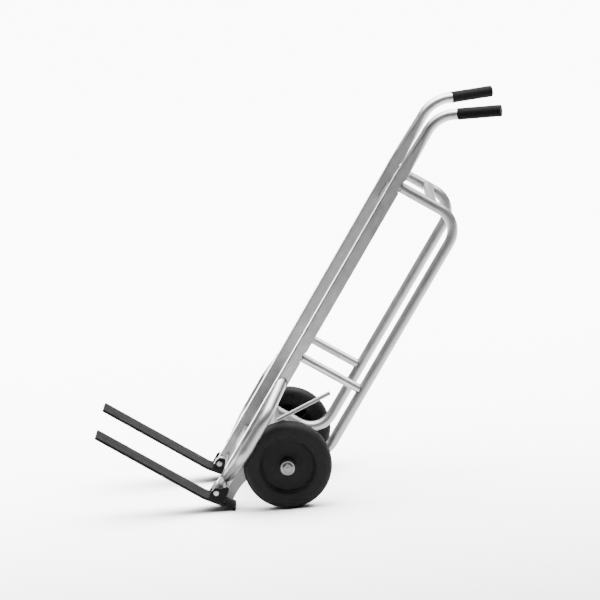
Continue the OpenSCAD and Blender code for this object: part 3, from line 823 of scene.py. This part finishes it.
def bar_skin(start: Vector, along: Vector, radius: float, share: float) -> Vector:
    """Gives a point of a round bar's skin, square to its start.

    Args:
        start: a point on the middle line of the bar.
        along: the bar's direction, of length 1.
        radius: of the bar.
        share: how far round the bar, from 0 to 1.

    Returns:
        The point.
    """
    side = along.orthogonal().normalized()
    turn = math.tau * share
    return start + radius * (math.cos(turn) * side + math.sin(turn) * along.cross(side))


def ring_on_plane(start: Vector, along: Vector, radius: float, level: Vector,
                  normal: Vector) -> Path:
    """Follows the line in which a round bar meets a flat face.

    Args:
        start: a point on the middle line of the bar.
        along: the bar's direction.
        radius: of the bar.
        level: a point of the face.
        normal: the face's normal.

    Returns:
        The path, from 0 to 1 round the bar.
    """
    along = along.normalized()

    def at(share: float) -> Vector:
        """Returns one point of the line."""
        skin = bar_skin(start, along, radius, share)
        return skin + along * ((level - skin).dot(normal) / along.dot(normal))

    return at


def ring_on_bar(start: Vector, along: Vector, radius: float, centre: Vector, axis: Vector,
                big: float) -> Path:
    """Follows the saddle line in which a round bar meets a thicker one.

    Args:
        start: a point on the middle line of the bar, outside the thicker one.
        along: the bar's direction, towards the thicker one.
        radius: of the bar.
        centre: a point on the middle line of the thicker bar.
        axis: the thicker bar's direction.
        big: the thicker bar's radius.

    Returns:
        The path, from 0 to 1 round the bar.
    """
    along = along.normalized()
    axis = axis.normalized()
    run = along - axis * along.dot(axis)

    def at(share: float) -> Vector:
        """Finds where the bar's skin runs into the thicker bar.

        Args:
            share: how far round the bar, from 0 to 1.

        Returns:
            One point of the line.
        """
        skin = bar_skin(start, along, radius, share)
        gap = skin - centre
        gap -= axis * gap.dot(axis)
        a, b, c = run.dot(run), 2.0 * gap.dot(run), gap.dot(gap) - big * big
        return skin + along * ((-b - math.sqrt(max(0.0, b * b - 4.0 * a * c))) / (2.0 * a))

    return at


def ring_over_lips(web: Vector, radius: float, clear: float, rise: float) -> Path:
    """Follows a tube's end on the web of a profile and over the two lips beside it.

    Args:
        web: the middle of the tube's end.
        radius: of the tube.
        clear: from the middle of the profile to the inner face of a lip.
        rise: how far the lips stand out from the web.

    Returns:
        The path, from 0 to 1 round the tube.
    """

    def at(share: float) -> Vector:
        """Lifts the line over a lip where it comes to one.

        Args:
            share: how far round the tube, from 0 to 1.

        Returns:
            One point of the line.
        """
        turn = math.tau * share
        beside = (radius * abs(math.cos(turn)) - clear) / LIP_BLEND + 0.5
        lift = min(1.0, max(0.0, beside))
        return web + Vector((rise * lift, radius * math.cos(turn), radius * math.sin(turn)))

    return at


def arc(centre: Vector, radius: float, first: float, last: float) -> Path:
    """Follows an arc that lies square to the axle.

    Args:
        centre: of the arc.
        radius: of the arc.
        first: where it starts, in degrees up from rearward.
        last: where it ends.

    Returns:
        The path, from 0 to 1 along the arc.
    """

    def at(share: float) -> Vector:
        """Returns one point of the arc."""
        turn = math.radians(first + (last - first) * share)
        return centre + radius * Vector((math.cos(turn), 0.0, math.sin(turn)))

    return at


def chain(corners: list[Vector]) -> Path:
    """Follows straight runs from corner to corner.

    Args:
        corners: the points, in order.

    Returns:
        The path, from 0 to 1 along the runs.
    """
    lengths = [(b - a).length for a, b in zip(corners, corners[1:])]

    def at(share: float) -> Vector:
        """Walks the runs until it has gone far enough.

        Args:
            share: how far along them, from 0 to 1.

        Returns:
            One point of the runs.
        """
        left = share * sum(lengths)
        for a, b, length in zip(corners, corners[1:], lengths):
            if left <= length:
                return a.lerp(b, left / length)
            left -= length
        return corners[-1].copy()

    return at


@dataclass(frozen=True)
class Seam:
    """A weld bead laid in even ripples."""

    radius: float = 1.8
    ripple: float = 0.22
    pitch: float = 2.9
    sides: int = 8
    steps_per_ripple: int = 4
    fewest_ripples: int = 3

    def lay(self, form: bmesh.types.BMesh, layout: Layout, path: Path,
            closed: bool = True) -> None:
        """Lays the bead along a path.

        Args:
            form: the bmesh that takes the bead.
            layout: the truck's layout.
            path: from 0 to 1 along the joint.
            closed: whether it runs back to its start.
        """
        marks = [path(i / MEASURES) for i in range(MEASURES + 1)]
        length = sum((b - a).length for a, b in zip(marks, marks[1:]))
        ripples = max(self.fewest_ripples, round(length / self.pitch))
        steps = self.steps_per_ripple * ripples
        count = steps if closed else steps + 1
        points = [layout.place(*path(i / steps)) for i in range(count)]
        radii = [MM * self.radius * (1.0 - self.ripple * abs(math.cos(
            math.pi * i / self.steps_per_ripple))) for i in range(count)]
        sweep(form, points, radii, self.sides, closed)


# Sub-assemblies


@dataclass
class SubAssembly:
    """What every sub-assembly is made with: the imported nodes, the layout and the paints.

    Their sizes are in millimetres, square to the uprights as in Layout.place, and in degrees.
    """

    nodes: dict[str, Object]
    layout: Layout
    paints: Paintbox

    def dress(self, finishes: dict[str, Finish]) -> None:
        """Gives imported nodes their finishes.

        Args:
            finishes: the finish of each node, by the node's name.
        """
        for name, finish in finishes.items():
            self.paints.dress(self.nodes[name], finish)
            log.info("node %s in %s", name, finish.name)

    def add(self, form: bmesh.types.BMesh, name: str, finish: Finish, body: str,
            slot: str) -> None:
        """Makes a trim piece of a finished bmesh and fixes it to a body.

        Args:
            form: the shape, in the truck's frame.
            name: the piece's name.
            finish: what it is dressed in.
            body: the body that it rides on.
            slot: the record's material slot that its finish belongs to; not used.
        """
        piece = as_piece(form, name)
        self.paints.dress(piece, finish)
        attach(piece, body)
        log.info("piece %s on %s, %d faces", name, body, len(piece.data.polygons))


@dataclass
class Uprights(SubAssembly):
    """The two extruded uprights, drawn out into their bent handles, with the cross plates."""

    plate_rear: float = -109.0
    plate_z: tuple[float, float] = (771.0, -64.0)
    plate_depth: tuple[float, float] = (10.0, 16.0)
    plate_half: float = 25.0
    seam: Seam = Seam(radius=1.5)

    def build(self) -> None:
        """Dresses the nodes and welds the cross plates to the uprights."""
        self.dress({
            "upright_left": PROFILE, "upright_right": PROFILE,
            "upper_cross_plate": PAINTED_LIGHT_CROSS_PLATE, "lower_cross_plate": PAINTED_LIGHT_CROSS_PLATE,
        })
        for side, sign in SIDES.items():
            form = bmesh.new()
            for z, depth in zip(self.plate_z, self.plate_depth):
                low, high = z - self.plate_half, z + self.plate_half
                front, rear, y = self.plate_rear - depth, self.plate_rear, sign * INNER_Y
                corners = [Vector((rear, y, high)), Vector((front, y, high)),
                           Vector((front, y, low)), Vector((rear, y, low))]
                self.seam.lay(form, self.layout, chain(corners), closed=False)
            self.add(form, f"cross_plate_seams_{side}", WELD_AND_PAINTED_SHADE, "frame", "profile_aluminium")


@dataclass
class RearFrame(SubAssembly):
    """The round-tube frame behind the uprights, its struts, cross tubes and foot rod."""

    lip_clear: float = 12.0
    lip_rise: float = 6.0
    tube_r: float = 15.0
    arm_z: tuple[float, float] = (839.0, 40.0)
    leg_x: float = 85.0
    strut_r: float = 12.5
    strut_z: float = 280.0
    cross_r: float = 14.0
    cross_x: tuple[float, float] = (-9.5, -72.0)
    rod_r: float = 6.0
    rod_angle: float = 57.5
    rod_start: float = 60.0
    seam_lift: float = 0.8
    arm_inset: float = 0.7
    seam: Seam = Seam()
    rod_seam: Seam = Seam(radius=1.3)

    def build(self) -> None:
        """Dresses the nodes and lays the seams of each side and of the foot rod."""
        self.dress({
            "rear_tube_left": TUBE, "rear_tube_right": TUBE, "strut_left": STRUT,
            "strut_right": STRUT, "upper_cross_tube": CROSS_TUBE, "lower_cross_tube": CROSS_TUBE,
            "foot_rod": ROD,
        })
        for side, sign in SIDES.items():
            self.add(self.side_seams(sign), f"rear_frame_seams_{side}", WELD_AND_PAINTED_SHADE, "frame",
                     "tube_aluminium")
        form = bmesh.new()
        foot = Vector((self.cross_x[1], 0.0, self.arm_z[1]))
        turn = math.radians(self.rod_angle)
        up = Vector((math.cos(turn), 0.0, math.sin(turn)))
        path = ring_on_bar(foot + self.rod_start * up, -up, self.rod_r, foot, SIDEWAYS,
                           self.cross_r)
        self.rod_seam.lay(form, self.layout, path)
        self.add(form, "foot_rod_seam", WELD_AND_PAINTED_SHADE, "frame", "tube_aluminium")

    def side_seams(self, sign: float) -> bmesh.types.BMesh:
        """Lays the seams of one rear tube, its strut and its ends of the cross tubes.

        Args:
            sign: -1 for the left side, 1 for the right.

        Returns:
            The bmesh with all of them.
        """
        form = bmesh.new()
        x, y = WEB_X + self.seam_lift, sign * MIDDLE_Y
        for z in self.arm_z:
            self.seam.lay(form, self.layout, ring_over_lips(
                Vector((x, y, z)), self.tube_r - self.arm_inset, self.lip_clear, self.lip_rise))
        end = Vector((x, y, self.strut_z))
        self.seam.lay(form, self.layout, ring_over_lips(
            end, self.strut_r, self.lip_clear, self.lip_rise))
        leg = Vector((self.leg_x, y, self.strut_z))
        self.seam.lay(form, self.layout, ring_on_bar(
            end, REARWARD, self.strut_r, leg, UPWARD, self.tube_r))
        for x, z in zip(self.cross_x, self.arm_z):
            self.seam.lay(form, self.layout, ring_on_bar(
                Vector((x, 0.0, z)), Vector((0.0, sign, 0.0)), self.cross_r,
                Vector((x, y, z)), REARWARD, self.tube_r))
        return form


@dataclass
class AxlePlates(SubAssembly):
    """The two plates that carry the axle, welded into the channel of each upright."""

    faces_y: tuple[float, float] = (146.0, 154.0)
    top_z: float = 22.0
    bottom_z: float = -178.0
    stitch: float = 34.0
    stitches: int = 4
    seam_lift: float = 0.6
    seam: Seam = Seam(radius=1.7)

    def build(self) -> None:
        """Dresses the plates and lays their seams in stitches along the web."""
        self.dress({"axle_plate_left": PAINTED_SHADE_AXLE_PLATE, "axle_plate_right": PAINTED_SHADE_AXLE_PLATE})
        step = (self.top_z - self.bottom_z - self.stitch) / (self.stitches - 1)
        for side, sign in SIDES.items():
            form = bmesh.new()
            for y in self.faces_y:
                for i in range(self.stitches):
                    low = Vector((WEB_X + self.seam_lift, sign * y, self.bottom_z + i * step))
                    high = low + self.stitch * UPWARD
                    self.seam.lay(form, self.layout, chain([low, high]), closed=False)
            self.add(form, f"axle_plate_seams_{side}", WELD_AND_PAINTED_SHADE, "frame", "plate_aluminium")


@dataclass
class WheelGuards(SubAssembly):
    """The bowed tubes outside the uprights, in front of the wheels."""

    x: float = -126.5
    out_y: float = 248.0
    corner_z: tuple[float, float] = (100.0, -32.0)
    radius: float = 16.0
    seam: Seam = Seam(radius=2.0)

    def build(self) -> None:
        """Dresses the guards and lays a seam round each end."""
        self.dress({"wheel_guard_left": GUARD, "wheel_guard_right": GUARD})
        for side, sign in SIDES.items():
            form = bmesh.new()
            for corner, up in zip(self.corner_z, (1.0, -1.0)):
                start = Vector((self.x, sign * self.out_y, corner))
                leg = Vector((0.0, -sign, up))
                level = Vector((self.x, sign * OUTER_Y, corner))
                self.seam.lay(form, self.layout, ring_on_plane(
                    start, leg, self.radius, level, SIDEWAYS))
            self.add(form, f"wheel_guard_seams_{side}", WELD_AND_PAINTED_SHADE, "frame", "tube_aluminium")


@dataclass
class Hinges(SubAssembly):
    """The hinge blocks, stop rod, bolts, washers and nuts at the feet.

    The pivot sleeves keep the plain finish that they are packed with.
    """

    rod: tuple[float, float] = (-124.0, -144.5)
    rod_r: float = 5.0
    rod_lift: float = 0.4
    block_r: float = 18.0
    block_arc: tuple[float, float] = (112.0, -20.0)
    thread_y: tuple[float, float] = (101.9, 104.0)
    thread_r: float = 3.75
    pitch: float = 1.25
    seam: Seam = Seam(radius=1.2)
    thread: Seam = Seam(radius=0.42, ripple=0.0, pitch=1.0, sides=6)

    def build(self) -> None:
        """Dresses the nodes, lays the seams and winds the threads that show past the nuts."""
        self.dress({
            "hinge_block_left": BLOCK, "hinge_block_right": BLOCK, "stop_rod": ROD,
            "pivot_bolts": ZINC, "pivot_nuts": ZINC, "pivot_washers": ZINC,
        })
        for side, sign in SIDES.items():
            form = bmesh.new()
            block = Vector((PIVOT_X, sign * INNER_Y, PIVOT_Z))
            self.seam.lay(form, self.layout, arc(block, self.block_r, *self.block_arc),
                          closed=False)
            for y in (INNER_Y, OUTER_Y):
                rod = Vector((self.rod[0], sign * y, self.rod[1]))
                self.seam.lay(form, self.layout, arc(rod, self.rod_r + self.rod_lift, 0.0, 360.0))
            self.add(form, f"hinge_seams_{side}", WELD_AND_PAINTED_SHADE, "frame", "profile_aluminium")
            self.add(self.bolt_thread(sign), f"pivot_thread_{side}", ZINC, "frame", "zinc_steel")

    def bolt_thread(self, sign: float) -> bmesh.types.BMesh:
        """Winds the thread that shows on a bolt's end.

        Args:
            sign: -1 for the left side, 1 for the right.

        Returns:
            The bmesh with the thread's crest.
        """
        form = bmesh.new()
        first, last = self.thread_y
        turns = (last - first) / self.pitch
        middle = Vector((PIVOT_X, 0.0, PIVOT_Z))

        def at(share: float) -> Vector:
            """Winds from the nut to the bolt's end.

            Args:
                share: how far along the thread, from 0 to 1.

            Returns:
                One point of the crest.
            """
            turn = math.tau * turns * share
            y = sign * (first + (last - first) * share)
            return middle + Vector((self.thread_r * math.cos(turn), y,
                                    self.thread_r * math.sin(turn)))

        self.thread.lay(form, self.layout, at, closed=False)
        return form


@dataclass
class Wheels(SubAssembly):
    """The axle with its spacers, washers and caps, and the two solid wheels on it."""

    middle_y: float = 200.0
    tyre_r: float = 125.0
    side_y: float = 27.9
    line: float = 0.35
    tread_steps: int = 160
    side_rings: tuple[float, float] = (103.5, 86.5)
    side_steps: int = 128
    cap_y: float = 247.2
    cap_ring_r: float = 12.5
    cap_ring: float = 0.7
    cap_steps: int = 64
    crown_r: float = 5.5
    crown_h: float = 0.9

    def build(self) -> None:
        """Dresses the nodes and adds the moulding lines of the tyres and the caps' crowns."""
        self.dress({
            "axle": ZINC, "axle_spacers": ZINC, "axle_washers": ZINC, "axle_caps": CAP,
        })
        for side, sign in SIDES.items():
            self.dress({f"tyre_{side}": TYRE, f"wheel_centre_{side}": PLASTIC,
                        f"wheel_bush_{side}": BUSH})
            self.add(self.tyre_lines(sign), f"tyre_lines_{side}", TYRE, f"wheel_{side}",
                     "tyre_rubber")
            self.add(self.cap_crown(sign), f"cap_crown_{side}", CAP, "frame", "zinc_steel")

    def tyre_lines(self, sign: float) -> bmesh.types.BMesh:
        """Spins the moulding lines of one tyre, on its tread and both its sides.

        Args:
            sign: -1 for the left side, 1 for the right.

        Returns:
            The bmesh with all five lines.
        """
        form = bmesh.new()
        middle = self.layout.place(0.0, sign * self.middle_y, 0.0)
        ring(form, middle, self.tyre_r * MM, self.line * MM, self.tread_steps)
        for r in self.side_rings:
            for out in (-self.side_y, self.side_y):
                face = middle + Vector((0.0, out * MM, 0.0))
                ring(form, face, r * MM, self.line * MM, self.side_steps)
        return form

    def cap_crown(self, sign: float) -> bmesh.types.BMesh:
        """Spins the pressed ring and the crown of one axle cap.

        Args:
            sign: -1 for the left side, 1 for the right.

        Returns:
            The bmesh with both.
        """
        form = bmesh.new()
        face = self.layout.place(0.0, sign * self.cap_y, 0.0)
        ring(form, face, self.cap_ring_r * MM, self.cap_ring * MM, self.cap_steps)
        crown(form, face, self.crown_r * MM, self.crown_h * MM, sign)
        return form


@dataclass
class Forks(SubAssembly):
    """The folding forks: flat black blades with their hinge lugs."""

    blade_slope: float = 8.5
    blade_top: tuple[float, float] = (-160.0, -201.0)
    lug_x: tuple[float, float] = (-146.0, -102.0)
    lug_y: tuple[float, float] = (120.0, 188.0)
    seam_lift: float = 0.3
    seam: Seam = Seam(radius=1.4)

    def build(self) -> None:
        """Dresses the forks and welds the lugs to the blades."""
        for side, sign in SIDES.items():
            self.dress({f"fork_blade_{side}": POWDER, f"fork_lugs_{side}": LUG})
            form = bmesh.new()
            for y in self.lug_y:
                ends = [Vector((x, sign * y, self.top(x) + self.seam_lift)) for x in self.lug_x]
                self.seam.lay(form, self.layout, chain(ends), closed=False)
            self.add(form, f"fork_lug_seams_{side}", LUG, f"fork_{side}", "black_steel")

    def top(self, x: float) -> float:
        """Returns the height of the blade's upper face at its heel."""
        at, height = self.blade_top
        return height + (x - at) * math.tan(math.radians(self.blade_slope))


@dataclass
class Grips(SubAssembly):
    """The rubber grips on the handles, with a rolled lip at their open end."""

    start: tuple[float, float, float] = (-76.6, 165.6, 1096.7)
    bend: float = 55.0
    splay: float = 18.0
    radius: float = 16.2
    lip_in: float = 1.0
    lip: Seam = Seam(radius=0.9, ripple=0.0, pitch=4.0)

    def build(self) -> None:
        """Dresses the grips and rolls the lip of each."""
        bend, splay = math.radians(self.bend), math.radians(self.splay)
        for side, sign in SIDES.items():
            self.dress({f"grip_{side}": GRIP})
            along = Vector((math.sin(bend) * math.cos(splay),
                            sign * math.sin(bend) * math.sin(splay), math.cos(bend)))
            x, y, z = self.start
            start = Vector((x, sign * y, z)) + self.lip_in * along
            form = bmesh.new()
            self.lip.lay(form, self.layout, ring_on_plane(start, along, self.radius, start, along))
            self.add(form, f"grip_lip_{side}", GRIP, "frame", "grip_rubber")


def main() -> None:
    """Builds the studio, then dresses and trims each sub-assembly in turn."""
    logging.basicConfig(level=logging.INFO, format="%(name)s: %(message)s")
    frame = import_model()
    layout = Layout.from_joints(frame["joints"])
    paints = Paintbox(layout)
    Studio().build(layout, paints)
    for kind in (Uprights, RearFrame, AxlePlates, WheelGuards, Hinges, Wheels, Forks, Grips):
        kind(frame["nodes"], layout, paints).build()


if __name__ == "__main__":
    main()
